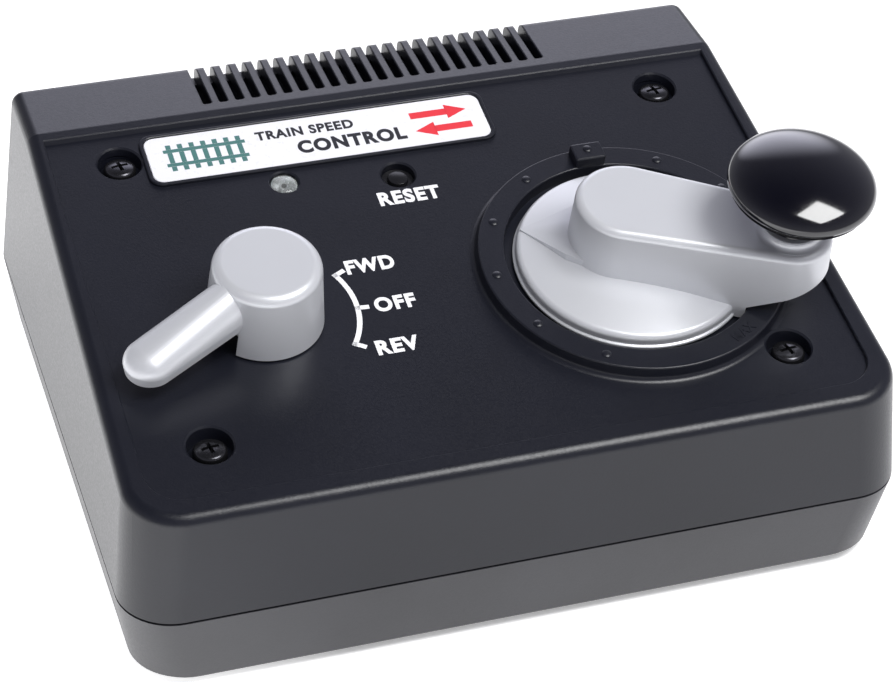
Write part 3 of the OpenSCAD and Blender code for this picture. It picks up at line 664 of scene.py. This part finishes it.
pointer = hull("pointer", ring_points(-19.7, 0.12, 3.2, 12) + ring_points(-19.7, 0.12, 1, 12)
               + [(-11.0, t, z) for t in (-6.4, 6.4) for z in (1, 5.6)]
               + [point for z in (1, 6) for point in ring_points(HUB_S, HUB_R - 0.2, z, 96)])
boolean(disc, pointer, "UNION")
boss = lathe("boss", [(0, ARM_TOP - 1), (6.2, ARM_TOP - 1), (6.2, ARM_TOP)]
             + [(6.2 - math.sin(math.radians(a)), ARM_TOP + 1 - math.cos(math.radians(a)))
                for a in range(10, 91, 10)]
             + [(5.2, BOSS_TOP - 0.2), (5.0, BOSS_TOP), (0, BOSS_TOP)], 96)
place(boss, Matrix.Translation((REACH, 0, 0)))
boolean(disc, boss, "UNION")
disc_bore = lathe("bore", [(0, -1), (7.2, -1), (7.2, 4.2), (3.0, 4.2), (3.0, 12.0), (0, 12.0)], 64)
boolean(disc, disc_bore, "DIFFERENCE")
pin_hole = lathe("pin_hole", [(0, BOSS_TOP - 7), (2.0, BOSS_TOP - 7), (2.0, BOSS_TOP + 3), (0, BOSS_TOP + 3)],
                 48)
place(pin_hole, Matrix.Translation((REACH, 0, 0)))
boolean(disc, pin_hole, "DIFFERENCE")
place(disc, panel_matrix(DIAL, ARM_ANGLE))
finish_piece(smooth(disc, 14.0), "dial", "dial_silver", SILVER, "speed_dial")

# ---------------------------------------------------------------- crank knob
KNOB_R, KNOB_MID, KNOB_TOP, RIM_H = 12.5, 25.7, 30.1, 24.1
NECK_R, KNOB_FOOT = 4.5, BOSS_TOP + 0.3
knob_profile = ([(0, KNOB_FOOT), (NECK_R - 0.2, KNOB_FOOT), (NECK_R, KNOB_FOOT + 0.2),
                 (NECK_R - 0.4, KNOB_FOOT + 3.5)]
                + [(NECK_R + 0.4, RIM_H - 1.6), (KNOB_R - 2.6, RIM_H - 0.6), (KNOB_R - 0.7, RIM_H)]
                + [((KNOB_R - 3.4) * math.cos(math.radians(max(a, 0))) + 3.4 * math.cos(math.radians(a)),
                    KNOB_MID + (1.6 if a < 0 else KNOB_TOP - KNOB_MID) * math.sin(math.radians(a)))
                   for a in range(-50, 86, 5)]
                + [(0, KNOB_TOP)])
knob = lathe("crank_grip", knob_profile, 160)
place(knob, panel_matrix(DIAL, ARM_ANGLE) @ Matrix.Translation((REACH, 0, 0)))
finish_piece(smooth(knob, 40.0), "knob", "gloss_black", KNOB, "crank_knob")

# ---------------------------------------------------------------- indicator and reset button
led_centre = on_panel_below(node_centre("power_led"))
led = lathe("indicator_lens", [(0, -5.9), (2.85, -5.9), (2.85, -4.9), (2.35, -4.9), (2.35, -0.75)]
            + arc(1.9, -0.75, 0.45, 8, 90, 8) + [(1.4, -0.24), (0.7, -0.14), (0, -0.1)], 72)
place(led, panel_matrix(led_centre))
finish_piece(smooth(led, 50.0), "case", "lens_clear", LENS, "power_led")
bowl = lathe("indicator_bowl", [(0, -2.6), (2.15, -2.6), (2.15, -0.95), (1.95, -0.9), (0.75, -1.8),
                                (0, -1.8)], 48)
place(bowl, panel_matrix(led_centre))
finish_piece(smooth(bowl, 30.0), "case", "lens_clear", REFLECTOR)
die = lathe("indicator_die", [(0, -1.79), (0.42, -1.79), (0.42, -1.35), (0.3, -1.2), (0, -1.15)], 32)
place(die, panel_matrix(led_centre))
finish_piece(smooth(die, 50.0), "case", "part_black", PART_BLACK)
button = lathe("reset_cap", [(0, -6.5), (1.8, -6.5), (1.8, -1.05), (1.7, -0.8), (1.45, -0.7), (0, -0.66)],
               64)
reset_centre = on_panel_below(node_centre("reset_button"))
place(button, panel_matrix(reset_centre))
finish_piece(smooth(button, 40.0), "reset", "gloss_black", BUTTON, "reset_button")


# ---------------------------------------------------------------- print
def outline(name, points, thick=0.03):
    """A flat printed shape from its outline in mm, with a thickness of ink."""
    bm = bmesh.new()
    low = [bm.verts.new((x, y, -0.01)) for x, y in points]
    high = [bm.verts.new((x, y, thick)) for x, y in points]
    bridge(bm, low, high)
    bm.faces.new(list(reversed(low)))
    bm.faces.new(high)
    bmesh.ops.triangulate(bm, faces=bm.faces)
    return mesh_object(name, bm)


def words(name, text, height, width, bold=0.045, thick=0.03):
    """Printed letters of a given height and overall width in mm, with the lower left corner at 0, 0."""
    curve = bpy.data.curves.new(name, "FONT")
    curve.body = text
    curve.offset = bold
    curve.space_character = 1.0 + 3.0 * bold
    curve.extrude = 0.02
    curve.resolution_u = 6
    writer = bpy.data.objects.new("writer", curve)
    bpy.context.scene.collection.objects.link(writer)
    bpy.context.view_layer.update()
    mesh = bpy.data.meshes.new_from_object(writer.evaluated_get(bpy.context.evaluated_depsgraph_get()))
    bpy.data.objects.remove(writer)
    piece = bpy.data.objects.new(name, mesh)
    bpy.context.scene.collection.objects.link(piece)
    xs = [v.co.x for v in mesh.vertices]
    ys = [v.co.y for v in mesh.vertices]
    sx = width / (max(xs) - min(xs))
    sy = height / (max(ys) - min(ys))
    move = Matrix.Translation((-min(xs) * sx, -min(ys) * sy, 0))
    scale = Matrix.Diagonal((sx, sy, thick / 0.04, 1))
    place(piece, Matrix.Translation((0, 0, thick / 2 - 0.01)) @ move @ scale)
    return piece


def printed(piece, centre, du, dv, material, slot="label_white", height=0.0, angle=0.0):
    place(piece, panel_matrix(centre, angle, height) @ Matrix.Translation((du, dv, 0)))
    return finish_piece(piece, "case", slot, material)


def band(radius, width, start, end, steps=24):
    return (arc(0, 0, radius - width / 2, start, end, steps)
            + arc(0, 0, radius + width / 2, end, start, steps))


printed(outline("mark_arc", band(16.0, 0.9, -35.0, 28.0)), LEVER, 0, 0, PRINT_WHITE)
for word, turn in (("fwd", 26.5), ("off", -3.5), ("rev", -33.5)):
    tick = [(15.6, -0.45), (18.0, -0.45), (18.0, 0.45), (15.6, 0.45)]
    c, s = math.cos(math.radians(turn)), math.sin(math.radians(turn))
    mark = outline(f"tick_{word}", [(x * c - y * s, x * s + y * c) for x, y in tick])
    printed(mark, LEVER, 0, 0, PRINT_WHITE)
printed(words("word_fwd", "FWD", 3.3, 8.6), LEVER, 16.5, 6.8, PRINT_WHITE)
printed(words("word_off", "OFF", 3.3, 7.2), LEVER, 18.9, -2.7, PRINT_WHITE)
printed(words("word_rev", "REV", 3.3, 7.4), LEVER, 16.5, -12.2, PRINT_WHITE)
printed(words("word_reset", "RESET", 3.4, 11.2), reset_centre, -5.2, -7.2, PRINT_WHITE)

# ---------------------------------------------------------------- name plate
PLATE_TOP = BORDER_H - 0.15
plate_centre = on_panel_below(node_centre("name_plate"))
plate = loft("title_plate", [[(x, y, z) for x, y in rounded(PLATE_W - 0.1 - 2 * i, PLATE_D - 0.1 - 2 * i,
                                                            1.9 - i)]
                             for i, z in ((0, 0), (0, PLATE_TOP - 0.1), (0.1, PLATE_TOP))])
place(plate, panel_matrix(plate_centre))
finish_piece(smooth(plate, 30.0), "case", "label_white", LABEL, "name_plate")
TRACK_U, RAIL_V, RAIL_HALF, TIE_HALF = -20.6, 1.75, 7.4, 3.3
for k, y in enumerate((-RAIL_V, RAIL_V)):
    rail = outline(f"pictogram_rail_{k + 1}", [(-RAIL_HALF, y - 0.4), (RAIL_HALF, y - 0.4),
                                               (RAIL_HALF, y + 0.4), (-RAIL_HALF, y + 0.4)])
    printed(rail, plate_centre, TRACK_U, 0, PRINT_TEAL, height=PLATE_TOP)
for k in range(7):
    x = -6.3 + 2.1 * k
    for part, low_v, high_v in (("low", -TIE_HALF, -RAIL_V - 0.45), ("mid", -RAIL_V + 0.45, RAIL_V - 0.45),
                                ("top", RAIL_V + 0.45, TIE_HALF)):
        tie = outline(f"pictogram_tie_{part}_{k + 1}", [(x - 0.45, low_v), (x + 0.45, low_v),
                                                        (x + 0.45, high_v), (x - 0.45, high_v)])
        printed(tie, plate_centre, TRACK_U, 0, PRINT_TEAL, height=PLATE_TOP)
for k, (text, height, width, bold, du, dv) in enumerate((("TRAIN SPEED", 2.3, 18.0, 0.04, -11.1, 1.2),
                                                         ("CONTROL", 3.3, 20.0, 0.05, -4.4, -3.5))):
    line = words(f"title_line_{k + 1}", text, height, width, bold)
    printed(line, plate_centre, du, dv, PRINT_DARK, height=PLATE_TOP)
for k, (side, dv) in enumerate(((1, 2.0), (-1, -2.0))):
    for part, points in (("tail", ((-5.3, -0.8), (1.6, -0.8), (1.6, 0.8), (-5.3, 0.8))),
                         ("head", ((1.5, -1.8), (5.3, 0), (1.5, 1.8)))):
        shape = outline(f"arrow_{part}_{k + 1}", [(side * x, y) for x, y in points])
        printed(shape, plate_centre, 22.75, dv, PRINT_RED, height=PLATE_TOP)

# ---------------------------------------------------------------- raised word on the scale ring
ring_word = words("ring_word", "MAX", 1.9, 5.0, 0.02, thick=0.1)
place(ring_word, Matrix.Rotation(math.radians(30.0), 4, "Z") @ Matrix.Translation((-2.5, -0.95, 0)))
turn = math.radians(-60.0)
printed(ring_word, DIAL, 24.6 * math.cos(turn), 24.6 * math.sin(turn), CASE, "case_black", height=2.5)

# ---------------------------------------------------------------- finishes of the CAD nodes that stay
KEPT = {
    "direction_shaft": STEEL, "direction_nut": STEEL, "crank_pin": STEEL, "speed_shaft": STEEL,
    "speed_washer": STEEL, "speed_nut": STEEL, "board_screws": STEEL, "transistor_screw": STEEL,
    "input_jack_nut": STEEL, "circuit_breaker": BUTTON, "direction_switch": SWITCH_GREEN,
    "speed_control": CONTROL, "main_board": BOARD, "capacitors": CAPACITOR, "rectifier": PART_BLACK,
    "control_chip": PART_BLACK, "relay": NYLON, "heat_sink": ALUMINIUM, "power_transistor": PART_BLACK,
    "board_headers": NYLON, "input_wires": WIRE_RED, "output_wires": WIRE_YELLOW,
    "control_wires": WIRE_GREY,
}
for node, material in KEPT.items():
    for slot_row in NODES[node].material_slots:
        slot_row.material = material

# ---------------------------------------------------------------- floor, light and camera
FLOOR_HALF = 3.0
bm = bmesh.new()
corners = [bm.verts.new((x * FLOOR_HALF, y * FLOOR_HALF, 0))
           for x, y in ((-1, -1), (1, -1), (1, 1), (-1, 1))]
bm.faces.new(corners)
floor = mesh_object("floor", bm)
floor_material = surface("floor_white", (0.86, 0.86, 0.86), 0.7, vary=0.004, grain=300.0, relief=0.001)
floor_shader = next(n for n in floor_material.node_tree.nodes if n.type == "BSDF_PRINCIPLED")
floor_shader.inputs["Emission Color"].default_value = (1.0, 1.0, 1.0, 1.0)
glow = floor_material.node_tree.nodes.new("ShaderNodeMapRange")
for socket, value in (("From Min", -0.075), ("From Max", -0.03), ("To Min", 1.1), ("To Max", 0.35)):
    glow.inputs[socket].default_value = value
where = floor_material.node_tree.nodes.new("ShaderNodeTexCoord")
across = floor_material.node_tree.nodes.new("ShaderNodeSeparateXYZ")
floor_material.node_tree.links.new(where.outputs["Object"], across.inputs["Vector"])
floor_material.node_tree.links.new(across.outputs["X"], glow.inputs["Value"])
floor_material.node_tree.links.new(glow.outputs["Result"], floor_shader.inputs["Emission Strength"])
floor.data.materials.append(floor_material)

SKY_LOW, SKY_MIDDLE, SKY_HIGH = (0.34, 0.34, 0.37, 1.0), (0.24, 0.24, 0.28, 1.0), (0.02, 0.02, 0.03, 1.0)
world = bpy.data.worlds.new("studio")
bpy.context.scene.world = world
world.use_nodes = True
sky = world.node_tree
background = next(n for n in sky.nodes if n.type == "BACKGROUND")
direction = sky.nodes.new("ShaderNodeTexCoord")
split = sky.nodes.new("ShaderNodeSeparateXYZ")
sky.links.new(direction.outputs["Generated"], split.inputs["Vector"])
SOFT_PATCH = Vector((0.27, 0.857, 0.44)).normalized()
facing = sky.nodes.new("ShaderNodeVectorMath")
facing.operation = "DOT_PRODUCT"
facing.inputs[1].default_value = SOFT_PATCH
sky.links.new(direction.outputs["Generated"], facing.inputs[0])
patch = sky.nodes.new("ShaderNodeMapRange")
patch.interpolation_type = "SMOOTHSTEP"
for socket, value in (("From Min", math.cos(math.radians(26))), ("From Max", math.cos(math.radians(6))),
                      ("To Min", 1.0), ("To Max", 9.0)):
    patch.inputs[socket].default_value = value
sky.links.new(facing.outputs["Value"], patch.inputs["Value"])
sky.links.new(patch.outputs["Result"], background.inputs["Strength"])
sky.links.new(ramp(sky, split.outputs["Z"], [(0.0, SKY_LOW), (0.45, SKY_MIDDLE), (1.0, SKY_HIGH)]),
              background.inputs["Color"])


def area_light(name, azimuth, elevation, distance, size, power, aim):
    """A soft box seen from aim at that azimuth, counter-clockwise from the case's front, and elevation."""
    a, e = math.radians(azimuth), math.radians(elevation)
    toward = Vector((math.sin(a) * math.cos(e), -math.cos(a) * math.cos(e), math.sin(e)))
    data = bpy.data.lights.new(name, "AREA")
    data.shape = "RECTANGLE"
    data.size, data.size_y = size
    data.energy = power
    lamp = bpy.data.objects.new(name, data)
    lamp.location = aim + toward * distance
    lamp.rotation_euler = toward.to_track_quat("Z", "Y").to_euler()
    bpy.context.scene.collection.objects.link(lamp)
    return lamp


CENTRE = Vector((0, 0, 0.03))
area_light("key", 42.0, 59.0, 0.7, (0.36, 0.34), 4.0, CENTRE)
area_light("fill", -10.0, 66.0, 1.0, (0.7, 0.3), 4.6, CENTRE).visible_glossy = False

AZIMUTH, ELEVATION, ROLL = math.radians(-18.378), math.radians(36.566), math.radians(1.908)
DISTANCE = 0.460684
FOCAL_PX, FRAME_W = 2723.493, 894.0
AIM = Vector((-9.673, -18.415, 36.643)) * MM
back = Vector((math.sin(AZIMUTH) * math.cos(ELEVATION), -math.cos(AZIMUTH) * math.cos(ELEVATION),
               math.sin(ELEVATION)))
right = (-back).cross(Vector((0, 0, 1))).normalized()
up = right.cross(-back)
right, up = (right * math.cos(ROLL) + up * math.sin(ROLL), up * math.cos(ROLL) - right * math.sin(ROLL))
camera_data = bpy.data.cameras.new("camera")
camera_data.sensor_width = 36.0
camera_data.lens = FOCAL_PX * 36.0 / FRAME_W
camera_data.shift_x = 0.0359
camera_data.shift_y = -0.0032
camera_data.clip_start = 0.01
camera = bpy.data.objects.new("camera", camera_data)
axes = Matrix((right, up, back)).transposed().to_4x4()
camera.matrix_world = Matrix.Translation(AIM + back * DISTANCE) @ axes
bpy.context.scene.collection.objects.link(camera)
bpy.context.scene.camera = camera
bpy.context.scene.view_settings.view_transform = "Standard"
